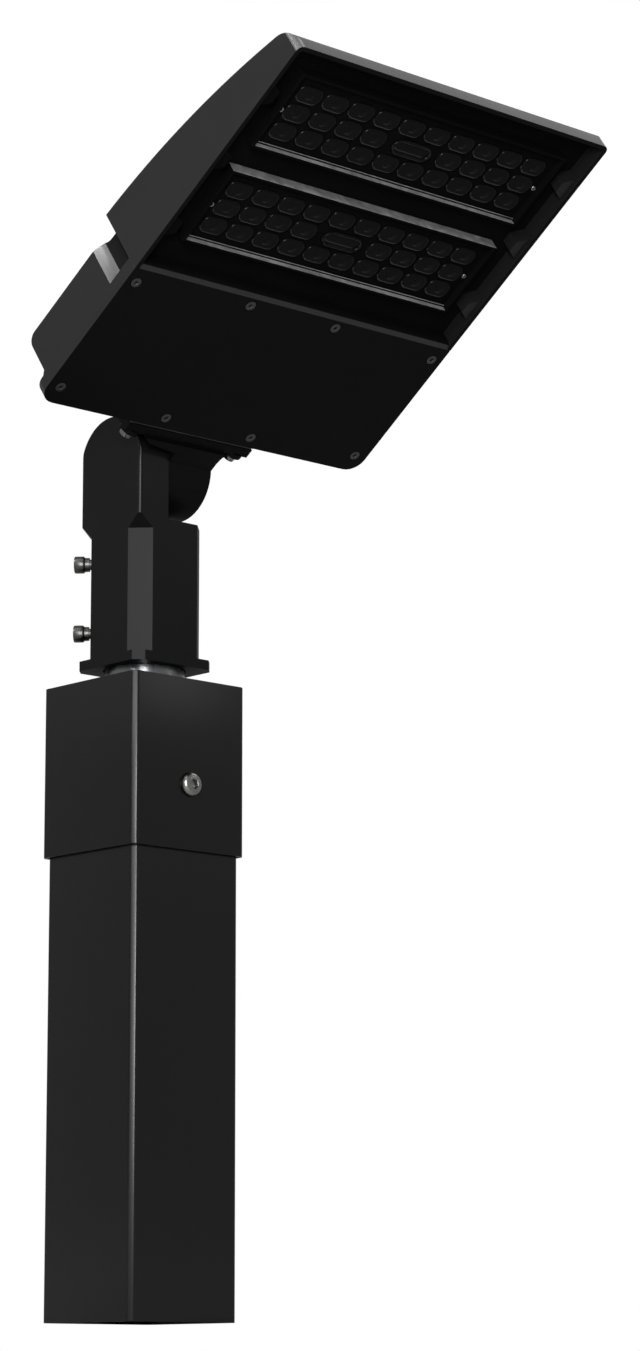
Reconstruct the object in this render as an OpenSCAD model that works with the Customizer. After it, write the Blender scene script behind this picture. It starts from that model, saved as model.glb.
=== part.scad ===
// Shoebox area light on a square pole top: tilting LED head, slip fitter and tenon adapter.
// Millimetres. +Z is up, the head points to -Y and tilts about a hinge along X.
// The origin is the centre of the pole section's lower end.

/* [Pole] */
// Outer side of the square pole
pole_side = 101.6; // [90:0.1:125]
// Wall of the pole
pole_wall = 3.2; // [2:0.1:5]
// Outer corner radius of the pole
pole_corner = 4.5; // [3.5:0.1:6]
// Length of pole below the adapter
pole_shown = 340; // [200:1:600]

/* [Tenon adapter] */
// Wall of the sleeve
adapter_wall = 2.8; // [2:0.1:5]
// Gap between the sleeve and the pole on each side
adapter_fit = 0.3; // [0.3:0.05:0.6]
// Height of the adapter
adapter_h = 128; // [100:1:180]
// Thickness of the adapter's top plate
adapter_cap = 6; // [4:0.5:10]
// Height of the clamp screws above the lower lip
clamp_z = 48.6; // [30:0.1:70]
// Thread diameter of the clamp screws
clamp_d = 10; // [8:1:12]
// Head diameter of the clamp screws
clamp_head_d = 18.5; // [16:0.5:22]
// Head height of the clamp screws
clamp_head_h = 5; // [4:0.1:7]

/* [Tenon] */
// Outer diameter of the tenon tube
tenon_d = 60.3; // [56:0.1:62]
// Wall of the tenon tube
tenon_wall = 3.9; // [2.5:0.1:5]
// Length of tenon above the adapter
tenon_len = 104; // [90:1:112]

/* [Slip fitter] */
// Side of the fitter's square body
fitter_side = 69.8; // [68.5:0.1:76]
// Corner cut of the fitter's body
fitter_cut = 13.2; // [8:0.1:15]
// Radial gap between the tenon and the fitter's bore
tenon_gap = 0.85; // [0.4:0.05:0.95]
// Exposed tenon between the adapter and the collar
neck_gap = 13; // [8:0.5:20]
// How far the collar stands out from the body on each side
collar_out = 2.9; // [2:0.1:6]
// Corner cut of the collar
collar_cut = 7; // [5:0.1:10]
// Height of the collar
collar_h = 7.3; // [5:0.1:12]
// Height of the fitter's shoulder above the adapter
shoulder_h = 123.4; // [120:0.1:135]
// Thickness of the hinge ear
ear_t = 27.9; // [24:0.1:30]
// Rounding of the ear's outer upright edges
ear_edge = 3; // [1:0.1:5]
// Thread diameter of the set bolts
set_d = 8; // [6:0.5:10]
// Head diameter of the set bolts
set_head_d = 13; // [12:0.1:15]
// Height of the set bolt heads
set_head_h = 7.6; // [5:0.1:9]
// How far the set bolt heads stand off the body
set_standoff = 6; // [3:0.1:12]
// Height of the lower set bolt above the adapter
set_low = 42.5; // [35:0.5:50]
// Height between the two set bolts
set_spacing = 53.2; // [40:0.1:55]

/* [Hinge] */
// Tilt of the head above the horizontal
tilt = 34.5; // [0:0.5:90]
// Height of the hinge axis above the adapter
pivot_h = 169.1; // [166:0.1:180]
// Shank diameter of the hinge bolt
pivot_d = 12; // [10:0.5:14]
// Running clearance around the hinge bolt
pivot_fit = 0.06; // [0.02:0.01:0.1]
// Gap between the ear and the arm
hinge_gap = 0.3; // [0.3:0.05:0.5]
// Depth of the counterbore for the hinge bolt's head
pivot_sink = 14; // [13.5:0.1:16]

/* [Arm] */
// Distance from the hinge axis to the door's edge
arm_reach = 61; // [59:0.5:70]
// Distance from the hinge axis down to the door's face
face_drop = 26.4; // [24:0.1:28]
// Width of the arm's flange plate
flange_w = 120; // [112:1:130]
// Height of the arm's flange plate
flange_h = 36; // [34:0.5:37]
// Thickness of the arm's flange plate
flange_t = 8; // [6:0.5:10]
// Distance between the left and right flange bolts
flange_bolt_x = 101; // [98:1:106]
// Distance between the upper and lower flange bolts
flange_bolt_w = 23; // [21:0.5:24]
// Thread diameter of the flange bolts
flange_bolt_d = 6; // [5:0.5:8]
// Thickness of the arm's gasket
arm_seal_t = 1.5; // [1:0.1:3]

/* [Housing] */
// Width of the head at the door's edge
head_w = 311.6; // [306:0.1:340]
// Width of the head at the nose
nose_w = 304.4; // [302:0.1:306]
// Length of the head from door edge to nose
head_len = 336; // [334:1:380]
// Height of the driver box
box_h = 45.5; // [44:0.1:50]
// Highest point of the arched back
arch_peak = 57.7; // [54:0.1:64]
// Height of the arched back at the nose
nose_h = 20.4; // [18.5:0.1:24]
// Where the arch peaks, from the door's edge
arch_peak_u = 103.2; // [95:0.1:110]
// Rounding of the nose
nose_round = 17.6; // [15:0.1:19]
// Wall of the casting
wall = 3; // [2.5:0.1:3.6]
// Thickness of the lip at the door's edge
lip_t = 10; // [9:0.1:11]
// Set-back of the driver box's end wall from the lip
lip_out = 17.5; // [16:0.1:19]
// Plan rounding of the lip's corners
lip_corner = 13; // [8:0.5:15]
// Upper edge rounding of the driver box
box_round = 8; // [5:0.5:10]
// Length of the side scoops at the waist
scoop_len = 25; // [20:0.5:28]
// Depth of the side scoops
scoop_depth = 7; // [4:0.1:7.5]
// Height at which the side scoops end
scoop_floor = 11; // [9:0.5:14]
// Height of the LED deck above the face
deck_w = 14; // [13.8:0.1:15]
// Thickness of the LED deck
deck_t = 4; // [3:0.1:5]
// Rim around the LED recess
rim = 3.5; // [3:0.1:4]
// Number of cooling fins
fin_count = 21; // [10:1:24]
// Thickness of a cooling fin
fin_t = 2.6; // [2:0.1:4]
// How far the fins lie below the arched back
fin_drop = 3; // [1:0.1:5]

/* [Door] */
// Thickness of the door
door_t = 3.5; // [3:0.1:4]
// Distance from the door's edge to its folded lip
door_len = 135.5; // [134.8:0.1:137]
// Radius of the door's folded lip
fold_r = 5; // [4:0.5:5.5]
// Thread diameter of the door screws
door_screw_d = 4.8; // [4:0.1:5.5]
// Head diameter of the door screws
door_head_d = 9.2; // [8:0.1:10]
// Thickness of the door's gasket
door_seal_t = 1.5; // [1:0.1:1.8]

/* [LED modules] */
// Lens columns in a module
lens_cols = 10; // [8:2:10]
// Gap between neighbouring lens pads
lens_gap = 2; // [1.2:0.1:3]
// Corner cut of a lens pad
lens_cut = 3.4; // [2:0.1:4]
// Height of a lens pad above its plate
lens_pad_h = 2; // [1.5:0.1:2.5]
// Thickness of the lens plate
lens_plate_t = 2; // [1.5:0.1:2.4]
// Thickness of the LED board
board_t = 1.6; // [1.2:0.1:2]
// Side of an LED package
chip_side = 3.5; // [2.5:0.1:5]
// Height of an LED package
chip_h = 1.4; // [1:0.1:1.4]
// Width of the module's rail
rail_t = 2.5; // [2:0.1:3]
// Height of the module's rail
rail_h = 9.5; // [9:0.1:10]
// Space between the outer lens pads and the end rails
end_space = 5.4; // [5.2:0.1:6]
// Space between the outer lens pads and the long rails
side_space = 6.9; // [6:0.1:7]
// Space between the folded lip and the lower module
lower_space = 23.1; // [16:0.1:28]
// Space between the two modules
module_space = 21.6; // [10:0.1:28]
// Space between the upper module and the nose
upper_space = 22.2; // [16:0.1:28]
// Space beside the modules at the narrow end of the recess
side_room = 19.4; // [16:0.1:26]
// How far the lugs beside the modules stand in from the side walls
lug_reach = 10; // [6:0.5:12]

/* [Driver compartment] */
// Gap between the pieces in the compartment
part_gap = 3; // [2:0.5:6]
// Width of the driver
driver_w = 66; // [50:1:70]
// Height of the driver
driver_h = 30; // [24:1:31]
// Side of the surge protector
surge_side = 34; // [28:1:38]
// Length of the terminal block
terminal_len = 48; // [36:6:60]

/* [Hidden] */

$fn = 48;
// Overlap that keeps cuts clear of the faces they open
cut = 1;

black = "#1d1d1f";
zinc = "#b8bcc0";
stainless = "#c9c9c6";

// Heights of the upright parts
lip_z = pole_shown;
adapter_z = lip_z + adapter_h;
collar_z = adapter_z + neck_gap;
body_z = collar_z + collar_h;
shoulder_z = adapter_z + shoulder_h;
pivot_z = adapter_z + pivot_h;
tenon_top_z = adapter_z + tenon_len;

// Pole and adapter
pole_inside = pole_side - 2 * pole_wall;
adapter_side = pole_side + 2 * (adapter_fit + adapter_wall);
pole_top_z = adapter_z - adapter_cap - adapter_fit;
tenon_r = tenon_d / 2;
thread_gap = 0.05;
clamp_nut_t = 8;
clamp_nut_af = 1.6 * clamp_d;
clamp_len = adapter_wall + adapter_fit + pole_wall + clamp_nut_t + 2;
clamp_hex = 0.55 * clamp_d;

// Fitter
half = fitter_side / 2;
bore_r = tenon_r + tenon_gap;
cavity_r = tenon_r - tenon_wall - 6;
cavity_top_z = shoulder_z - 6;
facet_d = (fitter_side - fitter_cut) / sqrt(2);
stop_z = shoulder_z - 8.8;
stop_rise = 1.22;
set_socket = 3.5;
set_collar_h = 4;
set_tip_gap = 0.3;

// Hinge
ear_inner_x = ear_t - half;
arm_inner_x = ear_inner_x + hinge_gap;
pivot_r = pivot_d / 2;
pocket_r = 24;
hub_r = pivot_r + 5;
ear_pocket = 13;
wireway_d = 12;
pivot_head_x = half - pivot_sink;
washer_t = 2.5;
spring_t = 3;
pivot_head_h = 7.5;
pivot_head_af = 1.55 * pivot_d;
pivot_tip_x = 7.5 - half;

// Arm, in the head's own space: x across, u from the door's edge to the nose, w towards the back
pad_u = -6.8;
neck_low = 21;
neck_high = 16;
flange_in_u = pad_u - arm_seal_t;
flange_out_u = flange_in_u - flange_t;
bolt_boss_d = 16;
bolt_boss_h = 3;
bolt_seat_u = flange_out_u - bolt_boss_h;
flange_w0 = box_h - flange_h - 0.5;
flange_mid_w = flange_w0 + flange_h / 2;
arm_washer_t = 1.2;
arm_head_h = 4.2;
arm_head_af = 1.65 * flange_bolt_d;
arm_bolt_len = 26;

// Housing
arch_r = (pow(head_len - arch_peak_u, 2) + pow(arch_peak - nose_h, 2)) / (2 * (arch_peak - nose_h));
arch_w = arch_peak - arch_r;
nose_cu = head_len - nose_round;
nose_cw = arch_w + sqrt(pow(arch_r - nose_round, 2) - pow(nose_cu - arch_peak_u, 2));
fold_u = door_len - fold_r;
waist_u = fold_u - 1;
box_in_u = lip_out + wall;
bulkhead_u = waist_u - wall;
deck_top = deck_w + deck_t;
fin_end_u = head_len - 14;
open_x = head_w / 2 - 24;
open_u0 = box_in_u + 6.5;
open_u1 = bulkhead_u - 17.5;
flange_floor = door_t + 4.5;
seal_w = 5;
nose_corner = 5;
boss_r = door_screw_d / 2 + 2.6;
boss_top = flange_floor + 14;
arm_hole_depth = 3;
// Shares of the scoop's length and depth along its ramp
scoop_curve = [[0, 0], [0.12, 0.06], [0.24, 0.2], [0.32, 0.4], [0.38, 0.64], [0.44, 0.86], [0.52, 0.97],
    [0.62, 1], [1, 1]];
lug_at = [0.172, 0.489, 0.789];
lug_root = 22;
lug_tip = 9;
lug_w0 = 2.5;

// Door screws: x and u of the outer and inner screws of each row
screw_outer_x = head_w / 2 - 11.5;
screw_inner_x = 41.6;
door_screw_at = [[-screw_outer_x, 15], [-screw_inner_x, 9.2], [screw_inner_x, 9.2], [screw_outer_x, 15],
    [-screw_outer_x - 0.6, bulkhead_u - 8.5], [-screw_inner_x, bulkhead_u - 3],
    [screw_inner_x, bulkhead_u - 3], [screw_outer_x + 0.6, bulkhead_u - 8.5]];
door_sink = 2.4;
door_screw_len = 13;

// LED modules
frame_x = min(head_w, nose_w) - 2 * (rim + side_room);
frame_u = (head_len - door_len - lower_space - module_space - upper_space) / 2;
lens_pitch_x = (frame_x - 2 * (rail_t + end_space) + lens_gap) / lens_cols;
lens_pitch_u = (frame_u - 2 * (rail_t + side_space) + lens_gap) / 3;
pad_x = lens_pitch_x - lens_gap;
pad_l = lens_pitch_u - lens_gap;
grid_x = (lens_cols - 1) * lens_pitch_x + pad_x;
grid_u = 2 * lens_pitch_u + pad_l;
inner_x = grid_x + 2 * end_space;
inner_u = grid_u + 2 * side_space;
plate_gap = 0.4;
lens_back_w = deck_w - board_t - 1.1;
lens_plate_w = lens_back_w - lens_plate_t;
lens_top_w = lens_plate_w - lens_pad_h;
seal_x = inner_x - 2 * plate_gap;
seal_u = inner_u - 2 * plate_gap;
seal_rim = 4.6;
board_x = seal_x - 2 * seal_rim - 2;
board_u = seal_u - 2 * seal_rim - 1;
slot_x = 2 * lens_pitch_x - lens_gap - 7;
slot_l = pad_l - 1;
module_lower_u = door_len + lower_space + frame_u / 2;
module_upper_u = head_len - upper_space - frame_u / 2;
module_screw_x = grid_x / 2 + 2.7;
module_screw_d = 3;
module_head_d = 4.8;

// Driver compartment
roof_w = box_h - wall;
driver_foot = 8;
stack_x = max(surge_side, terminal_len);
driver_len = 2 * open_x - stack_x - 2 * driver_foot - 3 * part_gap;
driver_x = open_x - part_gap - driver_foot - driver_len / 2;
driver_u = open_u0 + part_gap + driver_w / 2;
surge_x = driver_x - driver_len / 2 - driver_foot - part_gap - stack_x / 2;
terminal_x = surge_x;
terminal_w = 22;
terminal_h = 20;
grommet_x = -95;
grommet_w = (flange_floor + deck_w) / 2;
grommet_r = (deck_w - flange_floor) / 2 - 0.6;
grommet_lip = 1.2;

// ---- outlines ----

function arc(cx, cy, r, a0, a1, n) = [for (i = [0:n])
    let (a = a0 + (a1 - a0) * i / n) [cx + r * cos(a), cy + r * sin(a)]];

function round_rect(x, y, r) = concat(
    arc(x / 2 - r, y / 2 - r, r, 0, 90, 6), arc(r - x / 2, y / 2 - r, r, 90, 180, 6),
    arc(r - x / 2, r - y / 2, r, 180, 270, 6), arc(x / 2 - r, r - y / 2, r, 270, 360, 6));

function cut_square(s, c) = [[s / 2, c - s / 2], [s / 2, s / 2 - c], [s / 2 - c, s / 2],
    [c - s / 2, s / 2], [-s / 2, s / 2 - c], [-s / 2, c - s / 2], [c - s / 2, -s / 2], [s / 2 - c, -s / 2]];

function cut_rect(x, y, c) = [[x / 2, c - y / 2], [x / 2, y / 2 - c], [x / 2 - c, y / 2],
    [c - x / 2, y / 2], [-x / 2, y / 2 - c], [-x / 2, c - y / 2], [c - x / 2, -y / 2], [x / 2 - c, -y / 2]];

// Half width of the head at distance u from the door's edge
function half_w(u) = (head_w + (nose_w - head_w) * u / head_len) / 2;

// Plan outline of the head between two stations, drawn in by inset
function head_plan(u0, u1, inset, r0, r1) = let (h0 = half_w(u0) - inset, h1 = half_w(u1) - inset)
    concat(arc(h0 - r0, u0 + r0, r0, -90, 0, 6), arc(h1 - r1, u1 - r1, r1, 0, 90, 4),
        arc(r1 - h1, u1 - r1, r1, 90, 180, 4), arc(r0 - h0, u0 + r0, r0, 180, 270, 6));

// Angle on the arched back, seen from the arch's centre, at station u
function arch_angle(u, r) = acos((u - arch_peak_u) / r);

// Side outline of the casting
function side_outline() = concat(
    [[0, door_t], [0, lip_t - 2], [2, lip_t], [lip_out - 3, lip_t], [lip_out, lip_t + 3]],
    arc(lip_out + box_round, box_h - box_round, box_round, 180, 90, 6),
    [[waist_u, box_h]],
    arc(arch_peak_u, arch_w, arch_r, arch_angle(waist_u, arch_r),
        atan2(nose_cw - arch_w, nose_cu - arch_peak_u), 20),
    arc(nose_cu, nose_cw, nose_round, atan2(nose_cw - arch_w, nose_cu - arch_peak_u) - 8, 0, 6),
    [[head_len, 0], [fold_u, 0], [fold_u, door_t]]);

// Side outline of the space above the deck, up to drop below the arched back
function fin_outline(u0, u1, drop) = concat([[u0, deck_top]],
    arc(arch_peak_u, arch_w, arch_r - drop, arch_angle(u0, arch_r - drop),
        arch_angle(u1, arch_r - drop), 16), [[u1, deck_top]]);

// ---- placing ----

// From the head's own space to the hinge
module on_head() {
    translate([0, 0, pivot_z]) rotate([-tilt, 0, 0]) translate([0, -arm_reach, -face_drop]) children();
}

// A place in the head's own space
module at(x, u, w) {
    translate([x, -u, w]) children();
}

// A side outline in u and w, run across the head
module across(length) {
    rotate([90, 0, -90]) linear_extrude(length, center = true) children();
}

// A plan outline in x and u, run from one height to another
module rise(w0, w1) {
    translate([0, 0, w0]) mirror([0, 1, 0]) linear_extrude(w1 - w0) children();
}

module block(x0, x1, u0, u1, w0, w1) {
    translate([x0, -u1, w0]) cube([x1 - x0, u1 - u0, w1 - w0]);
}

// Cylinder along X from x0 to x1
module bar_x(r, x0, x1) {
    translate([x0, 0, 0]) rotate([0, 90, 0]) cylinder(r = r, h = x1 - x0);
}

// ---- fasteners, head up along +Z with its seat at zero ----

module hex_head(af, h) {
    corner = af / sqrt(3);
    intersection() {
        cylinder(r = corner, h = h, $fn = 6);
        rotate_extrude() polygon([[0, 0], [corner, 0], [corner, 0.78 * h], [af / 2, h], [0, h]]);
    }
}

module hex_bolt(d, length, af, h) {
    hex_head(af, h);
    translate([0, 0, -length]) cylinder(d = d, h = length + cut / 2);
}

module cap_screw(d, length, head_d, head_h, collar_h, socket) {
    difference() {
        rotate_extrude() polygon([[0, -collar_h], [d / 2 + 0.5, -collar_h], [head_d / 2 - 0.4, 0],
            [head_d / 2, 0.4], [head_d / 2, head_h - 0.8], [head_d / 2 - 0.8, head_h], [0, head_h]]);
        translate([0, 0, head_h * 0.4]) cylinder(r = socket, h = head_h, $fn = 6);
    }
    translate([0, 0, -length]) cylinder(d = d, h = length - collar_h + cut / 2);
}

module dome_screw(d, length, head_d, head_h, socket) {
    difference() {
        rotate_extrude() polygon(concat([[0, 0], [head_d * 0.4, 0], [head_d / 2, head_h * 0.2]],
            [for (a = [20:10:60]) [head_d / 2 * cos(a), head_h * sin(a) / sin(60)]], [[0, head_h]]));
        translate([0, 0, head_h * 0.45]) cylinder(r = socket, h = head_h, $fn = 6);
    }
    translate([0, 0, -length]) cylinder(d = d, h = length + cut / 4);
}

module sunk_screw(d, length, head_d, sink, socket) {
    difference() {
        rotate_extrude() polygon([[0, 0], [head_d / 2, 0], [head_d / 2, -0.3], [d / 2, -sink], [0, -sink]]);
        translate([0, 0, -sink * 0.6]) cylinder(r = socket, h = sink, $fn = 6);
    }
    translate([0, 0, -length]) cylinder(d = d, h = length - sink + cut / 4);
}

module ring(r_out, r_in, h) {
    difference() {
        cylinder(r = r_out, h = h);
        translate([0, 0, -cut]) cylinder(r = r_in, h = h + 2 * cut);
    }
}

// ---- pole, adapter and tenon ----

// Places a child at each clamp screw, +Z pointing out of the sleeve
module at_clamps(d) {
    for (side = [-1, 1]) translate([0, side * d, lip_z + clamp_z]) rotate([-90 * side, 0, 0]) children();
}

module pole_section() color(black) {
    difference() {
        linear_extrude(pole_top_z) polygon(round_rect(pole_side, pole_side, pole_corner));
        translate([0, 0, -cut]) linear_extrude(pole_top_z + 2 * cut)
            polygon(round_rect(pole_inside, pole_inside, pole_corner - pole_wall + 0.8));
        at_clamps(pole_side / 2 - 2 * pole_wall) cylinder(r = clamp_d / 2 + adapter_fit, h = 4 * pole_wall);
    }
}

module tenon_adapter() color(black) {
    inner = pole_side + 2 * adapter_fit;
    difference() {
        translate([0, 0, lip_z]) linear_extrude(adapter_h)
            polygon(round_rect(adapter_side, adapter_side, pole_corner));
        translate([0, 0, lip_z - cut]) linear_extrude(adapter_h - adapter_cap + cut)
            polygon(round_rect(inner, inner, pole_corner - adapter_fit));
        translate([0, 0, adapter_z - adapter_cap - cut])
            cylinder(r = tenon_r + thread_gap, h = adapter_cap + 2 * cut);
        at_clamps(adapter_side / 2 - 2 * adapter_wall)
            cylinder(r = clamp_d / 2 + thread_gap, h = 4 * adapter_wall);
    }
}

module tenon() color(zinc) {
    translate([0, 0, adapter_z - adapter_cap]) ring(tenon_r, tenon_r - tenon_wall, adapter_cap + tenon_len);
}

module clamp_screws() color(stainless) {
    at_clamps(adapter_side / 2)
        dome_screw(clamp_d, clamp_len, clamp_head_d, clamp_head_h, clamp_hex);
}

module clamp_nuts() color(zinc) {
    at_clamps(pole_side / 2 - pole_wall - clamp_nut_t) difference() {
        cylinder(r = clamp_nut_af / sqrt(3), h = clamp_nut_t, $fn = 6);
        translate([0, 0, -cut]) cylinder(r = clamp_d / 2 + thread_gap, h = clamp_nut_t + 2 * cut);
    }
}

// ---- slip fitter ----

// Places a child at each set bolt, +Z pointing out through the corner facet
module at_set_bolts(d) {
    for (i = [0, 1]) translate([-d / sqrt(2), d / sqrt(2), adapter_z + set_low + i * set_spacing])
        rotate([-90, 0, 45]) children();
}

// Ear of the fitter: a square upright with a round top about the hinge
module ear() {
    intersection() {
        union() {
            translate([0, 0, pivot_z]) bar_x(half, -half, ear_inner_x);
            translate([-half, -half, stop_z]) cube([ear_t, fitter_side, pivot_z - stop_z]);
        }
        translate([0, 0, stop_z]) linear_extrude(pivot_z + half - stop_z)
            polygon(round_rect(fitter_side, fitter_side, ear_edge));
    }
}

module slip_fitter() color(black) {
    difference() {
        union() {
            translate([0, 0, body_z]) linear_extrude(shoulder_z - body_z)
                polygon(cut_square(fitter_side, fitter_cut));
            translate([0, 0, collar_z]) linear_extrude(collar_h)
                polygon(cut_square(fitter_side + 2 * collar_out, collar_cut));
            ear();
        }
        // Sloped stops where the corner cuts run out under the ear
        for (side = [-1, 1]) translate([0, 0, stop_z]) rotate([90, 0, side * 135])
            linear_extrude(fitter_side, center = true) polygon([[facet_d, 0], [facet_d, -cut],
                [2 * facet_d, -cut], [2 * facet_d, stop_rise * facet_d]]);
        translate([0, 0, collar_z - cut]) cylinder(r = bore_r, h = tenon_top_z - collar_z + cut);
        translate([0, 0, tenon_top_z - cut]) cylinder(r = cavity_r, h = cavity_top_z - tenon_top_z + cut);
        at_set_bolts(bore_r - 4) cylinder(r = set_d / 2 + thread_gap, h = facet_d);
        // Wire pocket around the hinge bolt, and the way down to the tenon
        translate([0, 0, pivot_z]) difference() {
            bar_x(pocket_r, ear_inner_x - ear_pocket, ear_inner_x + cut);
            bar_x(hub_r, ear_inner_x - ear_pocket - cut, ear_inner_x + 2 * cut);
        }
        translate([ear_inner_x - ear_pocket / 2, 0, cavity_top_z - cut])
            cylinder(d = wireway_d, h = pivot_z - hub_r - 3 - cavity_top_z + cut);
        translate([0, 0, pivot_z]) bar_x(pivot_r + thread_gap, pivot_tip_x - 1, ear_inner_x + cut);
    }
}

module set_bolts() color(stainless) {
    at_set_bolts(facet_d + set_standoff)
        cap_screw(set_d, facet_d + set_standoff - tenon_r - set_tip_gap, set_head_d, set_head_h,
            set_collar_h, set_socket);
}

// ---- hinge ----

module pivot_bolt() color(stainless) {
    seat = pivot_head_x + washer_t + spring_t;
    translate([seat, 0, pivot_z]) rotate([0, 90, 0])
        hex_bolt(pivot_d, seat - pivot_tip_x, pivot_head_af, pivot_head_h);
}

module pivot_washer() color(stainless) {
    translate([pivot_head_x, 0, pivot_z]) rotate([0, 90, 0]) ring(pivot_r + 7, pivot_r + 0.3, washer_t);
}

module pivot_spring_washer() color(stainless) {
    translate([pivot_head_x + washer_t, 0, pivot_z]) rotate([0, 90, 0]) difference() {
        ring(pivot_r + 4, pivot_r + 0.3, spring_t);
        translate([0, -1, -cut]) cube([pivot_r + 5, 2, spring_t + 2 * cut]);
    }
}

// ---- arm ----

// Places a child at each flange bolt, +Z pointing away from the head
module at_flange_bolts(u) {
    for (x = [-1, 1], w = [-1, 1])
        at(x * flange_bolt_x / 2, u, flange_mid_w + w * flange_bolt_w / 2) rotate([-90, 0, 0]) children();
}

module knuckle_arm() color(black) on_head() {
    difference() {
        union() {
            at(0, -arm_reach, face_drop) bar_x(half, arm_inner_x, half);
            // Neck: flares in plan towards the plate
            intersection() {
                block(-flange_w / 2, flange_w / 2, -arm_reach, flange_out_u,
                    face_drop - neck_low, face_drop + neck_high);
                rise(face_drop - half, face_drop + half) polygon([[arm_inner_x, -arm_reach],
                    [half, -arm_reach], [half, flange_out_u - 9], [half + 1, flange_out_u - 3],
                    [half + 3, flange_out_u], [-half - 5, flange_out_u], [-half, flange_out_u - 4.5],
                    [arm_inner_x, flange_out_u - 8]]);
            }
            block(-flange_w / 2, flange_w / 2, flange_out_u, flange_in_u, flange_w0, flange_w0 + flange_h);
            at_flange_bolts(flange_out_u + cut) cylinder(d = bolt_boss_d, h = bolt_boss_h + cut);
        }
        // Ring pocket for the wires, and the way through the neck
        at(0, -arm_reach, face_drop) difference() {
            bar_x(pocket_r, arm_inner_x - cut, arm_inner_x + ear_pocket);
            bar_x(hub_r, arm_inner_x - 2 * cut, arm_inner_x + ear_pocket + cut);
        }
        at(arm_inner_x + ear_pocket / 2, flange_in_u + cut, face_drop) rotate([-90, 0, 0])
            cylinder(d = wireway_d, h = arm_reach + flange_in_u - hub_r - 3);
        at(0, -arm_reach, face_drop) bar_x(pivot_r + pivot_fit, arm_inner_x - cut, half + cut);
        at(0, -arm_reach, face_drop) bar_x(pivot_r + 9, pivot_head_x, half + cut);
        at_flange_bolts(flange_in_u + cut)
            cylinder(r = flange_bolt_d / 2 + 0.4, h = flange_t + bolt_boss_h + 2 * cut);
    }
}

module arm_gasket() color("#303030") on_head() {
    difference() {
        block(-flange_w / 2 + 1, flange_w / 2 - 1, flange_in_u, pad_u,
            flange_w0 + 1, flange_w0 + flange_h - 1);
        at(arm_inner_x + ear_pocket / 2, pad_u + cut, face_drop) rotate([-90, 0, 0])
            cylinder(d = wireway_d + 2, h = arm_seal_t + 2 * cut);
        at_flange_bolts(pad_u + cut) cylinder(r = flange_bolt_d / 2 + 0.4, h = arm_seal_t + 2 * cut);
    }
}

module arm_washers() color(stainless) on_head() {
    at_flange_bolts(bolt_seat_u) ring(flange_bolt_d, flange_bolt_d / 2 + 0.3, arm_washer_t);
}

module arm_bolts() color(stainless) on_head() {
    at_flange_bolts(bolt_seat_u - arm_washer_t)
        hex_bolt(flange_bolt_d, arm_bolt_len, arm_head_af, arm_head_h);
}

// ---- housing ----

// Side scoops at the waist
module scoops() {
    for (side = [-1, 1]) rise(scoop_floor, arch_peak) polygon(concat(
        [[side * (half_w(0) + cut), waist_u - scoop_len]],
        [for (p = scoop_curve) let (u = waist_u - (1 - p[0]) * scoop_len)
            [side * (half_w(u) - p[1] * scoop_depth), u]],
        [[side * (half_w(0) + cut), waist_u]]));
}

// Lugs on the side walls of the LED recess
module lugs() {
    for (side = [-1, 1], share = lug_at) {
        u = door_len + share * (head_len - rim - door_len);
        face = half_w(u) - rim;
        rise(lug_w0, deck_w + cut / 2) polygon([[side * (face + cut), u - lug_root / 2],
            [side * (face - lug_reach), u - lug_tip / 2], [side * (face - lug_reach), u + lug_tip / 2],
            [side * (face + cut), u + lug_root / 2]]);
    }
}

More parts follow.
